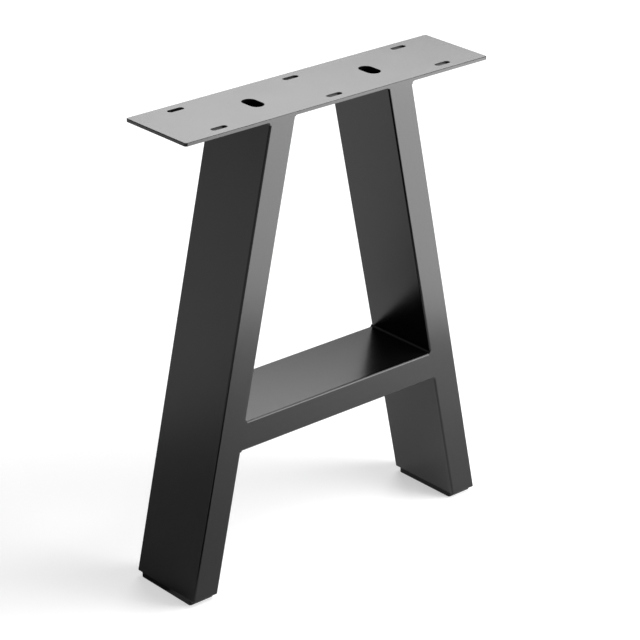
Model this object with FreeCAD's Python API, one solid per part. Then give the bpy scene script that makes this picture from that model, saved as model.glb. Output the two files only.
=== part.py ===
import FreeCAD, Part
import math
import os

from FreeCAD import Vector

# A-shaped table leg of welded steel tube: two leaning legs under a slotted
# plate, one crossbar between them and a plastic foot in the end of each leg.
# The origin is on the floor under the middle of the plate. X runs along the
# plate, Y across it and Z up. All sizes are in millimetres.

# Whole leg
overall_height = 725.0
plate_length = 570.5
plate_width = 134.0
plate_thickness = 5.0
plate_corner_radius = 4.0
plate_edge_radius = 1.0

# Tube that the legs and the crossbar are cut from, as deep as the plate is wide
tube_width = 45.0
tube_wall = 2.0
tube_edge_radius = 3.0
tube_inner_radius = 1.0

# Where the legs stand, measured across their outer faces
top_spread = 267.5
foot_spread = 569.5
crossbar_top_height = 271.5

# Screw slots in two rows along the plate. The margins are of bare plate
# beyond the slots, at the ends and at the sides
screw_slot_length = 27.0
screw_slot_width = 9.0
screw_slot_end_margin = 60.25
screw_slot_side_margin = 14.5
screw_slots_in_a_row = 3

# Slot over each hollow leg, across the plate
leg_slot_length = 38.0
leg_slot_width = 22.0

# Weld beads: leg length of the fillet, how hollow its face is, and the
# thinnest edge of the filler that is ground flush with the tube faces
crossbar_weld_above = 2.5
crossbar_weld_below = 1.0
plate_weld_outer = 5.0
plate_weld_inner = 2.0
weld_hollow = 0.5
filler_edge = 0.05

# Foot: a pad under the tube's end and a ribbed plug inside the tube, which
# has a stretch without ribs at its upper end to lead it in
pad_height = 8.0
pad_end_inset = 9.0
pad_side_inset = 0.5
pad_corner_radius = 4.0
pad_edge_radius = 1.5
plug_height = 26.0
plug_lead_in = 3.0
plug_wall = 2.5
plug_floor = 3.0
plug_corner_radius = 2.5
rib_reach = 1.5
rib_thickness = 1.4
rib_count = 4

underside = overall_height - plate_thickness
tube_depth = plate_width
lean = math.atan2((foot_spread - top_spread) / 2, underside - pad_height)
cut_width = tube_width / math.cos(lean)
bore_width = tube_width - 2 * tube_wall
bore_depth = tube_depth - 2 * tube_wall
screw_slot_pitch = (plate_length - 2 * screw_slot_end_margin - screw_slot_length) / (
    screw_slots_in_a_row - 1)
screw_row_spacing = plate_width - 2 * screw_slot_side_margin - screw_slot_width
rib_pitch = (plug_height - plug_floor - plug_lead_in) / rib_count
filler_reach = tube_edge_radius - math.sqrt(
    tube_edge_radius ** 2 - (tube_edge_radius - filler_edge) ** 2)


def save(shape, node):
    if not shape.isValid() or len(shape.Solids) != 1:
        raise ValueError(node + " is not one valid solid")
    solid = shape.Solids[0]
    solid.exportStep("parts/" + node + ".step")


def outer_face_x(z):
    """Distance from the middle plane to a leg's outer face at height z."""
    return foot_spread / 2 - (z - pad_height) * math.tan(lean)


def leg_centre_x(z):
    return outer_face_x(z) - cut_width / 2


def bar(width, depth, length, radius):
    """Upright bar about the origin, its four long edges rounded."""
    block = Part.makeBox(width, depth, length, Vector(-width / 2, -depth / 2, -length / 2))
    long_edges = [e for e in block.Edges if abs(e.tangentAt(e.FirstParameter).z) > 0.99]
    return block.makeFillet(radius, long_edges)


def slab(low, high):
    """Block wide enough to hold a whole leg, between two heights."""
    reach = foot_spread + plate_length + plate_width
    return Part.makeBox(reach, reach, high - low, Vector(-reach / 2, -reach / 2, low))


def leaning(width, depth, radius, side, low, high):
    """Bar in line with the leg on that side, cut level at two heights."""
    middle = (low + high) / 2
    length = (high - low) / math.cos(lean) + 2 * width
    shape = bar(width, depth, length, radius)
    shape.rotate(Vector(0, 0, 0), Vector(0, 1, 0), -side * math.degrees(lean))
    shape.translate(Vector(side * leg_centre_x(middle), 0, middle))
    return shape.common(slab(low, high))


def leg_envelope(side):
    return leaning(tube_width, tube_depth, tube_edge_radius, side, pad_height, underside)


def leg_tube(side):
    """Hollow leg, cut level at the foot and under the plate."""
    bore = leaning(bore_width, bore_depth, tube_inner_radius, side, pad_height, underside)
    return leg_envelope(side).cut(bore)


def slot_cutter(length, width, x, y, along_x):
    """Round-ended slot through the plate."""
    radius = width / 2
    half = (length - width) / 2
    a = Vector(-half, radius, 0)
    b = Vector(half, radius, 0)
    c = Vector(half, -radius, 0)
    d = Vector(-half, -radius, 0)
    outline = Part.Wire([
        Part.LineSegment(a, b).toShape(),
        Part.Arc(b, Vector(half + radius, 0, 0), c).toShape(),
        Part.LineSegment(c, d).toShape(),
        Part.Arc(d, Vector(-half - radius, 0, 0), a).toShape(),
    ])
    cutter = Part.Face(outline).extrude(Vector(0, 0, 3 * plate_thickness))
    if not along_x:
        cutter.rotate(Vector(0, 0, 0), Vector(0, 0, 1), 90)
    cutter.translate(Vector(x, y, underside - plate_thickness))
    return cutter


def top_plate():
    """Flat plate with rounded corners, a rounded upper edge and its slots."""
    block = Part.makeBox(plate_length, plate_width, plate_thickness,
                         Vector(-plate_length / 2, -plate_width / 2, underside))
    upright = [e for e in block.Edges if abs(e.tangentAt(e.FirstParameter).z) > 0.99]
    plate = block.makeFillet(plate_corner_radius, upright)
    top = max(plate.Faces, key=lambda face: face.CenterOfMass.z)
    plate = plate.makeFillet(plate_edge_radius, top.Edges)
    for row in (-1, 1):
        for place in range(screw_slots_in_a_row):
            x = (place - (screw_slots_in_a_row - 1) / 2) * screw_slot_pitch
            y = row * screw_row_spacing / 2
            plate = plate.cut(slot_cutter(screw_slot_length, screw_slot_width, x, y, True))
    for side in (-1, 1):
        x = side * leg_centre_x(underside)
        plate = plate.cut(slot_cutter(leg_slot_length, leg_slot_width, x, 0, False))
    return plate


def between_legs(low, high):
    """Block between the inner faces of the legs, over two heights."""
    wide = outer_face_x(low) - cut_width
    narrow = outer_face_x(high) - cut_width
    corners = [Vector(-wide, 0, low), Vector(wide, 0, low),
               Vector(narrow, 0, high), Vector(-narrow, 0, high)]
    face = Part.Face(Part.makePolygon(corners + corners[:1]))
    block = face.extrude(Vector(0, 2 * tube_depth, 0))
    block.translate(Vector(0, -tube_depth, 0))
    return block


def crossbar(width, depth, radius):
    """Level bar whose ends are mitred to the legs' inner faces."""
    shape = bar(width, depth, foot_spread, radius)
    shape.rotate(Vector(0, 0, 0), Vector(0, 1, 0), 90)
    shape.translate(Vector(0, 0, crossbar_top_height - tube_width / 2))
    return shape.common(between_legs(crossbar_top_height - 2 * tube_width,
                                     crossbar_top_height + tube_width))


def crossbar_tube():
    outside = crossbar(tube_width, tube_depth, tube_edge_radius)
    return outside.cut(crossbar(bore_width, bore_depth, tube_inner_radius))


def hollow_arc(corner, start, end):
    """Arc from start to end that dips towards the corner between two faces."""
    chord = (start + end) * 0.5
    to_corner = corner - chord
    reach = (start - corner).Length
    half_angle = math.asin(min(1.0, (end - start).Length / 2 / reach))
    tangent_dip = reach * (math.cos(half_angle) - 1 / math.cos(half_angle) + math.tan(half_angle))
    return Part.Arc(start, chord + to_corner.normalize() * (weld_hollow * tangent_dip), end)


def across_the_leg(edges, side):
    """Prism as deep as the tube from edges drawn for the right leg."""
    prism = Part.Face(Part.Wire([e.toShape() for e in edges])).extrude(Vector(0, tube_depth, 0))
    prism.translate(Vector(0, -tube_depth / 2, 0))
    if side < 0:
        prism = prism.mirror(Vector(0, 0, 0), Vector(1, 0, 0))
    return prism


def crossbar_weld_bead(side):
    """Bead round the crossbar's end: a hollow fillet above and below, and
    filler ground flush in the groove beside the leg's rounded edges."""
    up_leg = Vector(-math.sin(lean), 0, math.cos(lean))
    into_leg = Vector(math.cos(lean), 0, math.sin(lean)) * filler_reach
    down = Vector(0, 0, -filler_reach)
    top = Vector(leg_centre_x(crossbar_top_height) - cut_width / 2, 0, crossbar_top_height)
    low_z = crossbar_top_height - tube_width
    low = Vector(leg_centre_x(low_z) - cut_width / 2, 0, low_z)
    top_on_leg = top + up_leg * crossbar_weld_above
    top_on_bar = top + Vector(-crossbar_weld_above, 0, 0)
    low_on_leg = low - up_leg * crossbar_weld_below
    low_on_bar = low + Vector(-crossbar_weld_below, 0, 0)
    edges = [
        hollow_arc(top, top_on_leg, top_on_bar),
        Part.LineSegment(top_on_bar, top_on_bar + down),
        Part.LineSegment(top_on_bar + down, low_on_bar - down),
        Part.LineSegment(low_on_bar - down, low_on_bar),
        hollow_arc(low, low_on_bar, low_on_leg),
        Part.LineSegment(low_on_leg, low_on_leg + into_leg),
        Part.LineSegment(low_on_leg + into_leg, top_on_leg + into_leg),
        Part.LineSegment(top_on_leg + into_leg, top_on_leg),
    ]
    blank = across_the_leg(edges, side)
    return blank.cut(leg_envelope(side)).cut(crossbar(tube_width, tube_depth, tube_edge_radius))


def plate_weld_bead(side, facing):
    """Hollow fillet between the plate's underside and one face of a leg.
    Facing is 1 for the leg's outer face and -1 for its inner face."""
    down_leg = Vector(math.sin(lean), 0, -math.cos(lean))
    into_leg = Vector(-math.cos(lean), 0, -math.sin(lean)) * (facing * filler_reach)
    corner = Vector(leg_centre_x(underside) + facing * cut_width / 2, 0, underside)
    toe = plate_weld_outer if facing > 0 else plate_weld_inner
    on_leg = corner + down_leg * toe
    on_plate = corner + Vector(facing * toe, 0, 0)
    inside_top = corner + Vector(-facing * filler_reach / math.cos(lean), 0, 0)
    edges = [
        hollow_arc(corner, on_leg, on_plate),
        Part.LineSegment(on_plate, inside_top),
        Part.LineSegment(inside_top, on_leg + into_leg),
        Part.LineSegment(on_leg + into_leg, on_leg),
    ]
    return across_the_leg(edges, side).cut(leg_envelope(side))


def foot_insert(side):
    """Moulded foot: pad under the tube's end, plug and ribs inside it."""
    core_width = bore_width - 2 * rib_reach
    core_depth = bore_depth - 2 * rib_reach
    plug_top = pad_height + plug_height
    core = leaning(core_width, core_depth, plug_corner_radius, side, pad_height, plug_top)
    hollow = leaning(core_width - 2 * plug_wall, core_depth - 2 * plug_wall, tube_inner_radius,
                     side, pad_height + plug_floor, plug_top)
    cover = leaning(bore_width, bore_depth, plug_corner_radius, side,
                    pad_height, pad_height + plug_floor)
    body = core.fuse(cover)
    for rib in range(rib_count):
        low = pad_height + plug_floor + rib_pitch * (rib + 1) - rib_thickness
        body = body.fuse(leaning(bore_width, bore_depth, plug_corner_radius, side,
                                 low, low + rib_thickness))
    body = body.cut(hollow)
    pad_width = cut_width - 2 * pad_side_inset
    pad_depth = tube_depth - 2 * pad_end_inset
    pad = bar(pad_width, pad_depth, pad_height, pad_corner_radius)
    ground = min(pad.Faces, key=lambda face: face.CenterOfMass.z)
    pad = pad.makeFillet(pad_edge_radius, ground.Edges)
    pad.translate(Vector(side * leg_centre_x(pad_height), 0, pad_height / 2))
    return body.fuse(pad).removeSplitter()


os.makedirs("parts", exist_ok=True)
save(top_plate(), "top_plate")
save(crossbar_tube(), "crossbar_tube")
for side, name in ((-1, "left"), (1, "right")):
    save(leg_tube(side), name + "_leg_tube")
    save(foot_insert(side), name + "_foot_insert")
    save(crossbar_weld_bead(side), name + "_crossbar_weld")
    save(plate_weld_bead(side, 1), name + "_plate_weld_outer")
    save(plate_weld_bead(side, -1), name + "_plate_weld_inner")
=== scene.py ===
import math

import bpy
import numpy as np
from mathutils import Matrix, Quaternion, Vector
from mathutils.geometry import tessellate_polygon


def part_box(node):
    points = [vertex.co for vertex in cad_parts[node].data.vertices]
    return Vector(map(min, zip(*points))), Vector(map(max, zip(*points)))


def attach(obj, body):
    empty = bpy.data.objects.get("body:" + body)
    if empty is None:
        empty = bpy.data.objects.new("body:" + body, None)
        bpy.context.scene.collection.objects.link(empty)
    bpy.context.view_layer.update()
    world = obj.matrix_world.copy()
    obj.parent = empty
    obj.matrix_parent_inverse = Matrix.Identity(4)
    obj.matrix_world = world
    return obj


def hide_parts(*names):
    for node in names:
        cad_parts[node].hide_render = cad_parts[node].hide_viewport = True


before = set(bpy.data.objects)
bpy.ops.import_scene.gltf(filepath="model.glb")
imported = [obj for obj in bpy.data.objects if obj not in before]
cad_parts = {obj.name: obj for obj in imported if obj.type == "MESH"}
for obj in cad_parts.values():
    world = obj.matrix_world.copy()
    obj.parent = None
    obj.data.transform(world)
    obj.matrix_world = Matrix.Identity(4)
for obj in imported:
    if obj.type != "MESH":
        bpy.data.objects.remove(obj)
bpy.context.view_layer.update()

# Top plate
# Flat steel bar, laser cut with its slots and sheared to length, its upper
# edge rolled over by 1 mm and its slot rims deburred. It lies on the two legs
# and is welded to them before everything is powder coated in one go.
plate_low, plate_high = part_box("top_plate")
plate_corner = 0.004
plate_roll = 0.001
slot_deburr = 0.0005
screw_slot = (0.027, 0.009)
screw_slot_margins = (0.06025, 0.0145)
leg_slot = (0.022, 0.038)
tube_width = 0.045
corner_steps = 8
slot_end_steps = 12
roll_steps = 6
place_digits = 7


def rounded_rectangle(half_x, half_y, radius, steps=corner_steps):
    """Outline of a rectangle with round corners, anticlockwise, and its
    outward normals: each point is a corner's centre plus the radius times
    the cosine and sine of an angle that runs through that corner's quarter."""
    quarter = np.linspace(0, np.pi / 2, steps + 1)
    angles = np.concatenate([quarter + k * np.pi / 2 for k in range(4)])
    signs = np.repeat([(1, 1), (-1, 1), (-1, -1), (1, -1)], steps + 1, axis=0)
    centres = signs * (half_x - radius, half_y - radius)
    normals = np.stack([np.cos(angles), np.sin(angles)], 1)
    points = centres + radius * normals
    apart = np.linalg.norm(points - np.roll(points, 1, 0), axis=1) > 10 ** -place_digits
    return points[apart], normals[apart]


def grid_sheet(points, normals, closed=True):
    """Sheet of four-sided faces over a grid of points. The first direction
    of the grid runs along an open profile, the second round a closed loop,
    or along an open line where closed is False."""
    points = np.asarray(points)
    rows, columns = points.shape[:2]
    index = np.arange(rows * columns).reshape(rows, columns)
    ahead = np.roll(index, -1, 1)
    faces = np.stack([index[:-1], ahead[:-1], ahead[1:], index[1:]], -1)
    faces = faces if closed else faces[:, :-1]
    normals = np.broadcast_to(normals, points.shape)
    return points.reshape(-1, 3), normals.reshape(-1, 3), faces.reshape(-1, 4)


def rim_sheet(loop, low, high, radius, base, facing):
    """Upright wall over a loop, from low to high, whose upper edge is rolled
    over by a quarter arc of that radius. loop(inset) gives outline points
    and normals. Facing is 1 for an outer edge, which rolls inwards, and -1
    for a hole's edge, which rolls out over the plate."""
    angle = np.linspace(0, np.pi / 2, roll_steps + 1)
    insets = np.concatenate([[0], radius * (1 - np.cos(angle))]) * facing
    heights = np.concatenate([[low], high - radius * (1 - np.sin(angle))])
    tilts = np.concatenate([[0], angle])
    outlines = [loop(inset) for inset in insets]
    flat = np.stack([outline[0] + base for outline in outlines])
    across = np.stack([outline[1] for outline in outlines]) * facing
    up = np.broadcast_to(heights[:, None, None], flat.shape[:2] + (1,))
    points = np.concatenate([flat, up], -1)
    normals = np.concatenate([across * np.cos(tilts)[:, None, None],
                              np.broadcast_to(np.sin(tilts)[:, None, None], up.shape)], -1)
    return grid_sheet(points, normals)


def flat_sheet(loops, normal):
    """Flat sheet of triangles between an outer loop and the holes in it,
    all with the same normal."""
    faces = np.array(tessellate_polygon([[Vector(point) for point in loop] for loop in loops]))
    points = np.concatenate(loops)
    return points, np.tile(np.array(normal, float), (len(points), 1)), faces


def join_sheets(name, sheets, finishes=None):
    """One closed mesh object from sheets. Points that round to the same
    place become one vertex, and a four-sided face that so loses a side
    becomes a triangle. Each face corner keeps the normal of its own sheet,
    and a face that points against it is turned round. Finishes gives the
    number of each sheet's material, 0 where it is left out."""
    points = np.concatenate([sheet[0] for sheet in sheets])
    normals = np.concatenate([sheet[1] for sheet in sheets])
    starts = np.cumsum([0] + [len(sheet[0]) for sheet in sheets])
    _, first, vertex = np.unique(np.round(points, place_digits), axis=0,
                                 return_index=True, return_inverse=True)
    vertex = vertex.reshape(-1)
    faces, corner_normals, face_finishes = [], [], []
    for start, sheet, finish in zip(starts, sheets, finishes or [0] * len(sheets)):
        corners = sheet[2] + start
        kept = vertex[corners] != np.roll(vertex[corners], -1, 1)
        for count in (3, 4):
            whole = kept.sum(1) == count
            rows = corners[whole][kept[whole]].reshape(-1, count)
            one, two, three = points[rows[:, :3]].swapaxes(0, 1)
            across = np.cross(two - one, three - one)
            against = np.sum(across * normals[rows].mean(1), axis=1) < 0
            rows[against] = rows[against, ::-1]
            faces += vertex[rows].tolist()
            corner_normals.append(normals[rows].reshape(-1, 3))
            face_finishes += [finish] * len(rows)
    mesh = bpy.data.meshes.new(name)
    mesh.from_pydata(points[first], [], faces)
    mesh.polygons.foreach_set("use_smooth", np.ones(len(faces), bool))
    mesh.polygons.foreach_set("material_index", face_finishes)
    corner_normals = np.concatenate(corner_normals)
    corner_normals /= np.linalg.norm(corner_normals, axis=1, keepdims=True)
    mesh.normals_split_custom_set(corner_normals.tolist())
    piece = bpy.data.objects.new(name, mesh)
    bpy.context.scene.collection.objects.link(piece)
    return piece


class Value:
    """A number in a material's node tree. Sums and products of values, and
    of values and plain numbers, add their Math nodes to the tree."""

    def __init__(self, finish, socket):
        self.finish = finish
        self.socket = socket

    def math(self, operation, *terms):
        return self.finish.node("Math", {"operation": operation}, dict(enumerate(terms)))

    def __add__(self, other):
        return self.math("ADD", self, other)

    def __radd__(self, other):
        return self.math("ADD", other, self)

    def __sub__(self, other):
        return self.math("SUBTRACT", self, other)

    def __rsub__(self, other):
        return self.math("SUBTRACT", other, self)

    def __mul__(self, other):
        return self.math("MULTIPLY", self, other)

    def __rmul__(self, other):
        return self.math("MULTIPLY", other, self)


def grey(level):
    """Opaque colour with that level of red, green and blue."""
    return (level, level, level, 1.0)


class Finish:
    """A material and its node tree."""

    def __init__(self, name):
        self.material = bpy.data.materials.new(name)
        self.material.use_nodes = True
        self.tree = self.material.node_tree
        self.tree.nodes.clear()

    def node(self, kind, settings=None, sockets=None, output=0):
        """Adds a node, sets its settings and then its sockets, each to a
        plain value or a link, and returns one of its outputs."""
        made = self.tree.nodes.new("ShaderNode" + kind)
        for key, value in (settings or {}).items():
            setattr(made, key, value)
        for key, value in (sockets or {}).items():
            if isinstance(value, Value):
                self.tree.links.new(value.socket, made.inputs[key])
            else:
                made.inputs[key].default_value = value
        return Value(self, made.outputs[output]) if made.outputs else made

    def noise(self, size, detail, seed=0.0):
        """Soft noise between 0 and 1 whose lumps are about that size, in
        metres, in the object's own coordinates. A seed shifts it, so that
        two noises on one piece don't follow each other."""
        place = self.node("TexCoord", output="Object")
        shift = self.node("Mapping", {}, {"Vector": place, "Location": (seed, seed / 3, -seed)})
        return self.node("TexNoise", {}, {"Vector": shift, "Scale": 1 / size, "Detail": detail})

    def drifting_grey(self, factor, low, high):
        """Grey that drifts between two levels with a factor."""
        return self.node("Mix", {"data_type": "RGBA"},
                         {"Factor": factor, "A": grey(low), "B": grey(high)}, output=2)

    def surface(self, relief, sockets):
        """Ends the tree in one shader with those sockets and a relief, which
        is a height in metres, and returns the material."""
        bump = self.node("Bump", {}, {"Height": relief, "Strength": 1.0, "Distance": 1.0})
        shader = self.node("BsdfPrincipled", {}, {**sockets, "Normal": bump})
        self.node("OutputMaterial", {}, {"Surface": shader})
        return self.material


coat_black = 0.001
coat_rubbed = 0.002
coat_roughness = 0.24
coat_ior = 1.38
orange_peel_size = 0.0024
orange_peel_depth = 0.000012
grain_size = 0.0005
grain_depth = 0.0000015
grain_drift = 0.03
cloud_size = 0.09
cloud_drift = 0.05


def powder_coat():
    """Satin black powder coat: faint orange peel and finer grain in the
    surface, and a gloss that drifts a little with the coat's thickness."""
    finish = Finish("satin_black_powder_coat")
    peel = finish.noise(orange_peel_size, detail=1.5)
    grain = finish.noise(grain_size, detail=2.0, seed=3.0)
    cloud = finish.noise(cloud_size, detail=3.0, seed=7.0)
    return finish.surface(peel * orange_peel_depth + grain * grain_depth, {
        "Base Color": finish.drifting_grey(cloud, coat_black, coat_rubbed),
        "Roughness": coat_roughness + (cloud - 0.5) * cloud_drift + (grain - 0.5) * grain_drift,
        "IOR": coat_ior})


thin_coat_roughness = 0.45
thin_coat_drift = 0.1
thin_coat_gloss = 0.32
thin_coat_depth = 0.000012


def thin_coat():
    """Coat on the walls of the slots, where little powder reaches: it lies
    thin and dull over the cut steel."""
    finish = Finish("thin_dull_powder_coat")
    cut = finish.noise(grain_size, detail=2.0, seed=11.0)
    return finish.surface(cut * thin_coat_depth, {
        "Base Color": grey(coat_black),
        "Roughness": thin_coat_roughness + (cut - 0.5) * thin_coat_drift,
        "IOR": coat_ior, "Specular IOR Level": thin_coat_gloss})


coated_steel = powder_coat()


def dress(piece, node):
    """Coats a new piece, which stands for that node of the frame."""
    piece.data.materials.append(coated_steel)
    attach(piece, "root")
    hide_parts(node)


sides = {"left": -1, "right": 1}
leg_low, leg_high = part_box("right_leg_tube")
leg_length, leg_height = leg_high.x - leg_low.x, leg_high.z - leg_low.z
# The lean at which a tube that is cut level fills its box: the tube's width is
# the box's length times the cosine of the lean, less its height times the sine
lean = math.acos(tube_width / math.hypot(leg_length, leg_height)) - math.atan2(leg_height, leg_length)
cut_width = tube_width / math.cos(lean)


def leg_centre(height):
    """Distance of a leg's middle line from the middle plane at a height."""
    return leg_high.x - cut_width / 2 - (height - leg_low.z) * math.tan(lean)


plate_half = ((plate_high.x - plate_low.x) / 2, (plate_high.y - plate_low.y) / 2)
screw_x = plate_half[0] - screw_slot_margins[0] - screw_slot[0] / 2
screw_y = plate_half[1] - screw_slot_margins[1] - screw_slot[1] / 2
slots = [(screw_slot, x, y) for x in (-screw_x, 0, screw_x) for y in (-screw_y, screw_y)]
slots += [(leg_slot, side * leg_centre(plate_low.z), 0) for side in sides.values()]


def plate_outline(inset):
    """Outline of the plate, drawn in by an inset."""
    return rounded_rectangle(plate_half[0] - inset, plate_half[1] - inset, plate_corner - inset)


def slot_outline(size, inset):
    """Outline of a slot with half-round ends, drawn in by an inset."""
    half_x, half_y = size[0] / 2 - inset, size[1] / 2 - inset
    return rounded_rectangle(half_x, half_y, min(half_x, half_y), slot_end_steps)


def plate_face(edge_roll, slot_roll, height, normal):
    """Level face of the plate round its slots, with its edge drawn in and
    its slots opened by their rolls."""
    loops = [plate_outline(edge_roll)[0]]
    loops += [slot_outline(size, -slot_roll)[0] + (x, y) for size, x, y in slots]
    return flat_sheet([np.column_stack([loop, np.full(len(loop), height)]) for loop in loops], normal)


plate_sheets = [rim_sheet(plate_outline, plate_low.z, plate_high.z, plate_roll, (0, 0), 1)]
for size, x, y in slots:
    plate_sheets.append(rim_sheet(lambda inset: slot_outline(size, inset), plate_low.z, plate_high.z,
                                  slot_deburr, (x, y), -1))
plate_sheets.append(plate_face(plate_roll, slot_deburr, plate_high.z, (0, 0, 1)))
plate_sheets.append(plate_face(0, 0, plate_low.z, (0, 0, -1)))
full, thin = 0, 1
plate = join_sheets("coated_top_plate", plate_sheets, [full] + [thin] * len(slots) + [full, full])
dress(plate, "top_plate")
plate.data.materials.append(thin_coat())

# Legs
# Two lengths of rectangular steel tube with rounded long edges, cut level at
# both ends so that they lean in under the plate. The lower cut is deburred
# and takes the plastic foot. Both are welded to the plate and the crossbar.
tube_half_depth = (leg_high.y - leg_low.y) / 2
tube_edge = 0.003
tube_wall = 0.002
tube_bore_edge = 0.001
end_roll = 0.0015


def tube_section(inset, edge):
    """Cross-section of the tube, across its own length, drawn in by an inset."""
    return rounded_rectangle(tube_width / 2 - inset, tube_half_depth - inset, edge)


def leg_sheet(side, stations, facing):
    """Wall of a leaning tube. A station is (height, inset, edge radius,
    downward tilt of the normal). A section's x is stretched by one over the
    cosine of the lean, because the tube is cut level, and shifted to the
    leg's middle line at that height."""
    across = np.array([math.cos(lean), 0, side * math.sin(lean)])
    points, normals = [], []
    for height, inset, edge, tilt in stations:
        section, outward = tube_section(inset, edge)
        x = section[:, 0] / math.cos(lean) + side * leg_centre(height)
        points.append(np.column_stack([x, section[:, 1], np.full(len(x), height)]))
        wall = outward[:, :1] * across + outward[:, 1:] * (0, 1, 0)
        normals.append(facing * wall * math.cos(tilt) + np.array([0, 0, -math.sin(tilt)]))
    return grid_sheet(np.stack(points), np.stack(normals))


def leg_tube(side, name):
    """Whole leg: an outer wall whose lower edge is rolled in by a quarter
    arc, the bore, and the level rings between the two at both ends."""
    outer = []
    for tilt in np.linspace(math.pi / 2, 0, roll_steps):
        inset = end_roll * (1 - math.cos(tilt))
        outer.append((leg_low.z + end_roll * (1 - math.sin(tilt)), inset, tube_edge - inset, tilt))
    outer.append((leg_high.z, 0, tube_edge, 0))
    bore = [(height, tube_wall, tube_bore_edge, 0) for height in (leg_low.z, leg_high.z)]
    rings = [[(*outer[end][:3], tilt), (*bore[end][:3], tilt)]
             for end, tilt in ((0, math.pi / 2), (-1, -math.pi / 2))]
    sheets = [leg_sheet(side, outer, 1), leg_sheet(side, bore, -1)]
    return join_sheets(name, sheets + [leg_sheet(side, ring, 1) for ring in rings])


for name, side in sides.items():
    dress(leg_tube(side, "coated_%s_leg" % name), name + "_leg_tube")

# Crossbar
# A shorter length of the same tube laid level between the legs. Its ends are
# mitred to the legs' inner faces and welded all round, ground flush in front
# and behind and left as a small hollow bead above and below.
bar_low, bar_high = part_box("crossbar_tube")
bar_middle = (bar_low.z + bar_high.z) / 2


def bar_sheet(ends, facing, end_normal=None):
    """Wall of the level tube between two stations. A station is (side, inset,
    edge radius): the section stands in the YZ plane, and each of its points
    is carried along X to the leg's inner face at its own height. Where an
    end normal is given, the sheet is a mitred end, which faces that way."""
    points, normals = [], []
    for side, inset, edge in ends:
        section, outward = tube_section(inset, edge)
        height = bar_middle + section[:, 0]
        x = side * (leg_centre(height) - cut_width / 2)
        points.append(np.column_stack([x, section[:, 1], height]))
        wall = np.column_stack([np.zeros(len(x)), outward[:, 1], outward[:, 0]])
        normals.append(facing * wall if end_normal is None else np.tile(end_normal, (len(x), 1)))
    return grid_sheet(np.stack(points), np.stack(normals))


outer_wall, bore_wall = (0, tube_edge), (tube_wall, tube_bore_edge)
bar_sheets = [bar_sheet([(-1, *outer_wall), (1, *outer_wall)], 1),
              bar_sheet([(-1, *bore_wall), (1, *bore_wall)], -1)]
for side in sides.values():
    mitre = (side * math.cos(lean), 0, math.sin(lean))
    bar_sheets.append(bar_sheet([(side, *outer_wall), (side, *bore_wall)], 1, mitre))
dress(join_sheets("coated_crossbar", bar_sheets), "crossbar_tube")

# Weld beads under the plate
# Hollow fillets of weld metal between the plate and the legs' outer and inner
# faces, with the fine ripples of a travelling torch. They fill the grooves
# beside the tubes' round edges and are ground flush in front and behind.
plate_weld_outer = 0.005
plate_weld_inner = 0.002
weld_hollow = 0.8
ripple_pitch = 0.0017
ripple_amplitude = 0.00013
ripple_bow = 0.45
ripple_wander = 0.35
wander_pitches = 7
ground_length = 0.007
ground_flat_share = 0.3
filler_reach = 0.00246
bead_steps = 12
bead_stations = 640


def smooth_step(value):
    """Eases from 0 to 1: three times the square less twice the cube."""
    value = np.clip(value, 0, 1)
    return value * value * (3 - 2 * value)


def groove(y):
    """How far a tube's round edge draws back at that place across it: the
    edge's radius less the height of its arc there, and never more than the
    filler reaches."""
    past = np.clip(np.abs(y) - (tube_half_depth - tube_edge), 0, tube_edge)
    return np.minimum(tube_edge - np.sqrt(tube_edge ** 2 - past ** 2), filler_reach)


def rippled_fillet(corner, on_leg, on_plate, y):
    """Fillet between two toes, swept along Y. Across it, a point is the
    chord's point drawn towards the corner as a quadratic curve is, by the
    share that the weld is hollow. Ripples sink into it by one less the
    cosine of the way along Y, which wanders and bows across the bead, and
    they fade out at both toes and at the ends that are ground."""
    t = np.linspace(0, 1, bead_steps + 1)[:, None]
    chord = (1 - t) * on_leg + t * on_plate
    curve = (1 - t) ** 2 * on_leg + 2 * t * (1 - t) * corner + t ** 2 * on_plate
    section = chord + weld_hollow * (curve - chord)
    slope = np.gradient(section, axis=0)
    outward = np.column_stack([slope[:, 1], -slope[:, 0]])
    outward /= np.linalg.norm(outward, axis=1, keepdims=True)
    outward *= np.sign(np.sum(outward * ((on_leg + on_plate) / 2 - corner), axis=1, keepdims=True))
    wander = ripple_wander * np.sin(y / (wander_pitches * ripple_pitch))
    travel = y / ripple_pitch + wander + ripple_bow * (2 * t - 1) ** 2
    unground = smooth_step((tube_half_depth - np.abs(y)) / ground_length - ground_flat_share)
    fade = np.sin(np.pi * t) * unground
    sink = ripple_amplitude * (1 - np.cos(2 * np.pi * travel)) * fade
    across = section[:, None, :] - outward[:, None, :] * sink[..., None]
    points = np.stack([across[..., 0], np.broadcast_to(y, sink.shape), across[..., 1]], -1)
    normals = np.cross(np.gradient(points, axis=0), np.gradient(points, axis=1))
    facing = np.array([outward[bead_steps // 2, 0], 0, outward[bead_steps // 2, 1]])
    return points, normals * np.sign(np.sum(normals * facing, axis=-1, keepdims=True))


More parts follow.
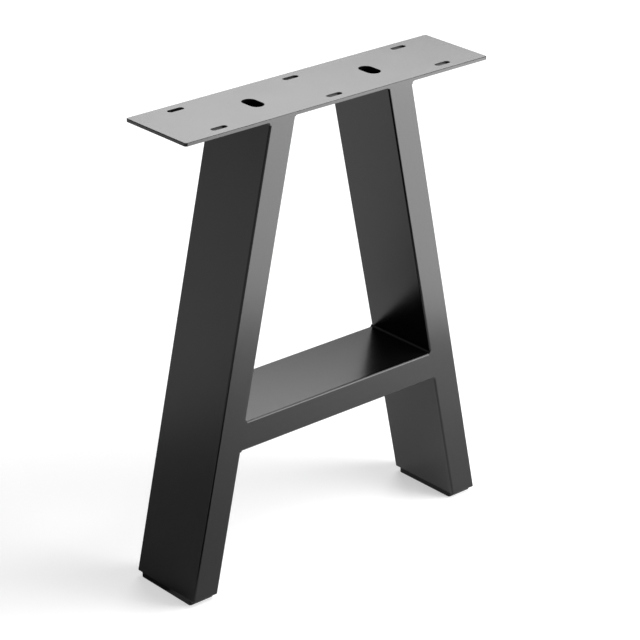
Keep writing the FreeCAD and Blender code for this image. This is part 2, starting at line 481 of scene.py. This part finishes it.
def plate_weld_bead(side, facing):
    """Bead on one face of a leg: the rippled fillet, its level contact with
    the plate, and behind it the leg's face, which the filler follows into the
    grooves at both ends. Facing is 1 for the leg's outer face, -1 inside."""
    outward = np.array([facing * side * math.cos(lean), facing * math.sin(lean)])
    down_leg = np.array([side * math.sin(lean), -math.cos(lean)])
    corner = np.array([side * leg_centre(plate_low.z) + side * facing * cut_width / 2, plate_low.z])
    toe = plate_weld_outer if facing > 0 else plate_weld_inner
    on_leg = corner + toe * down_leg
    on_plate = corner + toe * np.array([side * facing, 0])
    y = np.linspace(-tube_half_depth, tube_half_depth, bead_stations + 1)
    flat = tube_half_depth - tube_edge
    y = np.unique(np.round(np.append(y, [-flat, flat]), place_digits))
    face, face_normals = rippled_fillet(corner, on_leg, on_plate, y)
    back = groove(y)[:, None]

    def line(start, direction):
        """Line along Y through a point of the section, drawn back that way
        by the groove's depth."""
        place = start + back * np.asarray(direction)
        return np.column_stack([place[:, 0], y, place[:, 1]])

    lower_lip = line(on_leg, (0, 0))
    behind_toe = line(on_leg, -outward)
    behind_top = line(corner, (-side * facing / math.cos(lean), 0))
    upper_lip = line(on_plate, (0, 0))
    strips = [(face, face_normals), ([lower_lip, behind_toe], (down_leg[0], 0, down_leg[1])),
              ([behind_toe, behind_top], (-outward[0], 0, -outward[1])),
              ([behind_top, upper_lip], (0, 0, 1))]
    sheets = [grid_sheet(points, normals, closed=False) for points, normals in strips]
    for end, station in ((-1, 0), (1, -1)):
        rim = np.concatenate([face[:, station], [behind_top[station], behind_toe[station]]])
        sheets.append(flat_sheet([rim], (0, end, 0)))
    return sheets


for name, side in sides.items():
    for facing, place in ((1, "outer"), (-1, "inner")):
        bead = join_sheets("coated_%s_%s_plate_bead" % (name, place), plate_weld_bead(side, facing))
        dress(bead, "%s_plate_weld_%s" % (name, place))

# Weld beads round the crossbar's ends
# Small hollow fillets above and below, joined by filler that is ground flush
# with the tubes in front and behind and coated with them.


def finish_node(name, material):
    """Gives a node of the frame its finish."""
    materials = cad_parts[name].data.materials
    materials.clear()
    materials.append(material)


for name in sides:
    finish_node(name + "_crossbar_weld", coated_steel)

# Feet
# One moulded piece of black plastic in the end of each leg: a ribbed plug
# pressed into the tube and a pad under it that keeps the steel off the floor.
plastic_black = 0.002
plastic_worn = 0.004
plastic_roughness = 0.55
plastic_drift = 0.1
plastic_ior = 1.46
plastic_gloss = 0.25
plastic_cloud_size = 0.02
plastic_grain_size = 0.0007
plastic_grain_depth = 0.00001


def moulded_plastic():
    """Black plastic with the fine spark-eroded grain of its mould."""
    finish = Finish("moulded_black_plastic")
    grain = finish.noise(plastic_grain_size, detail=3.0)
    cloud = finish.noise(plastic_cloud_size, detail=2.0, seed=5.0)
    return finish.surface(grain * plastic_grain_depth, {
        "Base Color": finish.drifting_grey(cloud, plastic_black, plastic_worn),
        "Roughness": plastic_roughness + (cloud - 0.5) * plastic_drift,
        "IOR": plastic_ior, "Specular IOR Level": plastic_gloss})


foot_plastic = moulded_plastic()
for name in sides:
    finish_node(name + "_foot_insert", foot_plastic)

# Studio
# White floor under a pale surround. As the camera sees it, softboxes stand on
# the right for the narrow faces and behind for the plate, a black flag in
# front darkens the round edges, and a grey one on the left shades the left leg.
floor_reach = 14.0
floor_albedo = 0.6
floor_glow = (0.38, 0.97)
glow_heart = (0.35, -0.45, 0.0)
glow_reach = 2.8


def white_floor():
    """White floor, lit by the lamps. The camera and reflections also see a
    glow of its own, which rises evenly with the distance from the best lit
    place, so that the floor is as white far away as it is near the lamps."""
    finish = Finish("white_floor")
    place = finish.node("TexCoord", output="Object")
    away = finish.node("VectorMath", {"operation": "DISTANCE"}, {0: place, 1: glow_heart}, output=1)
    rise = finish.node("MapRange", {}, {"Value": away, "From Min": 0, "From Max": glow_reach,
                                        "To Min": floor_glow[0], "To Max": floor_glow[1]})
    seen = finish.node("LightPath", output="Is Camera Ray")
    for ray in ("Is Glossy Ray", "Is Transmission Ray"):
        seen = seen.math("MAXIMUM", seen, finish.node("LightPath", output=ray))
    lit = finish.node("BsdfDiffuse", {}, {"Color": grey(floor_albedo)})
    glow = finish.node("Emission", {}, {"Strength": seen * rise})
    both = finish.node("AddShader", {}, {0: lit, 1: glow})
    finish.node("OutputMaterial", {}, {"Surface": both})
    return finish.material


def cloth(name, level):
    """Plain matt cloth of that grey."""
    finish = Finish(name)
    matt = finish.node("BsdfDiffuse", {}, {"Color": grey(level)})
    finish.node("OutputMaterial", {}, {"Surface": matt})
    return finish.material


def level_card(name, corners, height, material):
    """Flat four-cornered piece of the studio, level at that height."""
    mesh = bpy.data.meshes.new(name)
    mesh.from_pydata([(x, y, height) for x, y in corners], [], [(0, 1, 2, 3)])
    mesh.materials.append(material)
    card = bpy.data.objects.new(name, mesh)
    bpy.context.scene.collection.objects.link(card)
    return card


def bearing_line(azimuth):
    """Level unit vector at a bearing from +X towards +Y."""
    return np.array([math.cos(math.radians(azimuth)), math.sin(math.radians(azimuth))])


square = np.array([(-1, -1), (1, -1), (1, 1), (-1, 1)])
level_card("floor", square * floor_reach, 0.0, white_floor())

flag_height = 0.002


def flag(name, azimuth, reach, half_width, level):
    """Oblong of cloth that lies just over the floor at a bearing, from one
    distance to another, and shows only in reflections."""
    near, far = [distance * bearing_line(azimuth) for distance in reach]
    aside = half_width * bearing_line(azimuth + 90)
    corners = [near - aside, near + aside, far + aside, far - aside]
    card = level_card(name, corners, flag_height, cloth(name + "_cloth", level))
    card.visible_camera = False
    card.visible_shadow = False
    card.visible_diffuse = False


flag("black_flag", azimuth=-131, reach=(0.4, 2.1), half_width=0.62, level=0.0)
flag("grey_flag", azimuth=152, reach=(0.25, 2.1), half_width=0.32, level=0.72)

surround_level = 0.2
world = bpy.data.worlds.new("pale_surround")
world.use_nodes = True
world.node_tree.nodes["Background"].inputs["Color"].default_value = grey(1.0)
world.node_tree.nodes["Background"].inputs["Strength"].default_value = surround_level
bpy.context.scene.world = world

middle_height = 0.36


def softbox(name, azimuth, distance, height, size, radiance, aim=middle_height):
    """Rectangular lamp at a bearing, aimed at the middle of the object or at
    another height there. Its power is pi times its area times the radiance
    that its face shows."""
    data = bpy.data.lights.new(name, "AREA")
    data.shape = "RECTANGLE"
    data.size, data.size_y = size
    data.energy = math.pi * size[0] * size[1] * radiance
    lamp = bpy.data.objects.new(name, data)
    lamp.location = (*(distance * bearing_line(azimuth)), height)
    lamp.rotation_mode = "QUATERNION"
    lamp.rotation_quaternion = (Vector((0, 0, aim)) - lamp.location).to_track_quat("-Z", "Y")
    lamp.visible_camera = False
    bpy.context.scene.collection.objects.link(lamp)


softbox("key", azimuth=-48, distance=0.8, height=0.46, size=(0.7, 0.84), radiance=5.7, aim=0.46)
softbox("key_far", azimuth=-48, distance=2.2, height=0.5, size=(1.2, 0.8), radiance=7.4, aim=0.5)
softbox("fill_left", azimuth=-76, distance=1.0, height=0.55, size=(0.5, 1.05), radiance=1.1, aim=0.55)
softbox("top_front", azimuth=-48, distance=0.9, height=1.6, size=(0.8, 0.6), radiance=8.0)
softbox("top_right", azimuth=-34, distance=1.1, height=1.5, size=(0.4, 0.4), radiance=7.0)
softbox("behind", azimuth=49, distance=1.9, height=1.65, size=(1.15, 0.84), radiance=4.0)
softbox("behind_high", azimuth=48, distance=1.6, height=2.2, size=(1.2, 0.4), radiance=5.3)

# Camera
# At the photograph's angle: azimuth, elevation and a slight roll, at the
# distance and focal length that its straight edges give.
view_azimuth = math.radians(-41.23)
view_elevation = math.radians(24.17)
view_roll = math.radians(0.28)
view_distance = 4.0698
view_target = Vector((-0.0008, -0.0205, 0.3644))
view_limit = 60.0
lens = 154.4

to_camera = Vector((math.sin(view_azimuth) * math.cos(view_elevation),
                    -math.cos(view_azimuth) * math.cos(view_elevation), math.sin(view_elevation)))
camera = bpy.data.objects.new("camera", bpy.data.cameras.new("camera"))
camera.data.lens = lens
camera.data.clip_end = view_limit
camera.location = view_target + to_camera * view_distance
camera.rotation_mode = "QUATERNION"
camera.rotation_quaternion = (-to_camera).to_track_quat("-Z", "Y") @ Quaternion((0, 0, 1), view_roll)
bpy.context.scene.collection.objects.link(camera)
bpy.context.scene.camera = camera
bpy.context.scene.view_settings.view_transform = "Standard"
